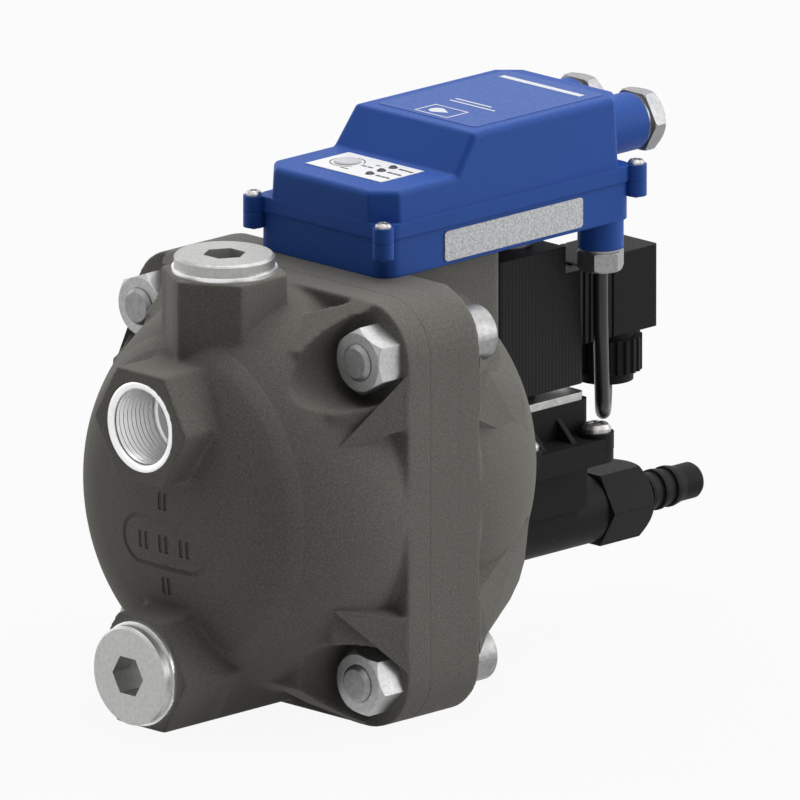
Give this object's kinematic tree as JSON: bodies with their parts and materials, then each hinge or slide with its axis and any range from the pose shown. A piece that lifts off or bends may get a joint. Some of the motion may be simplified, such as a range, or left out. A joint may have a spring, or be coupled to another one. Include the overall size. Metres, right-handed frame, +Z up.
{
  "type": "automatic drain valve",
  "caption": "Level-controlled condensate drain: bolted two-part cast vessel with screwed ports, electronics box on top, solenoid diaphragm valve with hose tail behind.",
  "frame": {"origin": "centre of the open inlet port's mouth, on the front of the vessel", "axes": "+Y into the port and on to the hose tail, +Z up, +X to the right seen from the front"},
  "size_m": [0.1226, 0.2539, 0.1789],
  "materials": {
    "casting": "cast and hard coated, fine speckle",
    "zinc_steel": "zinc plated, satin",
    "washer_metal": "turned, bright",
    "stainless_steel": "stainless, bright",
    "nickel_plate": "nickel plated, satin",
    "seal_rubber": "matt",
    "lead_sheath": "smooth, slightly glossy",
    "blue_plastic": "moulded, fine texture",
    "black_plastic": "glass filled, matt",
    "probe_sheath": "fluoropolymer sheath, satin",
    "board_laminate": "glass laminate",
    "terminal_plastic": "moulded, matt",
    "lamp_lens": "dark lens, glossy",
    "label_film": "printed film, satin",
    "button_plastic": "moulded, satin",
    "plate_foil": "speckled foil",
    "blue_film": "printed film, satin",
    "disc_brass": "turned"
  },
  "bodies": {
    "vessel": {"front_shell": "casting", "rear_shell": "casting", "shell_bolts": "zinc_steel", "shell_nuts": "zinc_steel", "top_plug": "zinc_steel", "lower_plug": "zinc_steel", "coil_nut": "zinc_steel", "coil_washer": "zinc_steel", "steel_plate": "zinc_steel", "top_plug_seal": "washer_metal", "lower_plug_seal": "washer_metal", "box_lid_screws": "stainless_steel", "box_fixing_screws": "stainless_steel", "cap_screws": "stainless_steel", "valve_mount_screws": "stainless_steel", "plug_screw": "stainless_steel", "core_tube": "stainless_steel", "plunger_spring": "stainless_steel", "diaphragm_spring": "stainless_steel", "power_gland_body": "nickel_plate", "power_gland_nut": "nickel_plate", "signal_gland_body": "nickel_plate", "signal_gland_nut": "nickel_plate", "lead_gland_body": "nickel_plate", "lead_gland_nut": "nickel_plate", "shell_seal": "seal_rubber", "probe_seal": "seal_rubber", "box_seal": "seal_rubber", "power_gland_seal": "seal_rubber", "signal_gland_seal": "seal_rubber", "plug_gasket": "seal_rubber", "diaphragm": "seal_rubber", "valve_inlet_seal": "seal_rubber", "hose_tail_seal": "seal_rubber", "solenoid_lead": "lead_sheath", "box_base": "blue_plastic", "box_lid": "blue_plastic", "coil": "black_plastic", "coil_spacer": "black_plastic", "plug_housing": "black_plastic", "plug_gland_nut": "black_plastic", "valve_cap": "black_plastic", "valve_body": "black_plastic", "hose_tail": "black_plastic", "level_probe": "probe_sheath", "circuit_board": "board_laminate", "terminal_block": "terminal_plastic", "status_lamps": "lamp_lens", "display_label": "label_film", "name_plate": "plate_foil", "top_film": "blue_film"},
    "button": {"test_button": "button_plastic"},
    "plunger": {"plunger": "stainless_steel", "plunger_seal": "seal_rubber"},
    "disc": {"valve_disc": "disc_brass"}
  },
  "joints": [
    {"name": "test_button_press", "type": "slide", "parent": "vessel", "child": "button", "axis": [0, 0, -1], "range_m": [0, 0.0008], "stiffness_N_per_m": 400, "springref_m": -0.001},
    {"name": "plunger_lift", "type": "slide", "parent": "vessel", "child": "plunger", "axis": [0, 0, 1], "range_m": [0, 0.002], "stiffness_N_per_m": 400, "springref_m": -0.002, "deforming": ["plunger_spring"]},
    {"name": "disc_lift", "type": "slide", "parent": "vessel", "child": "disc", "axis": [0, 0, 1], "range_m": [0, 0.0015], "stiffness_N_per_m": 400, "springref_m": -0.002, "deforming": ["diaphragm_spring", "diaphragm"]}
  ]
}
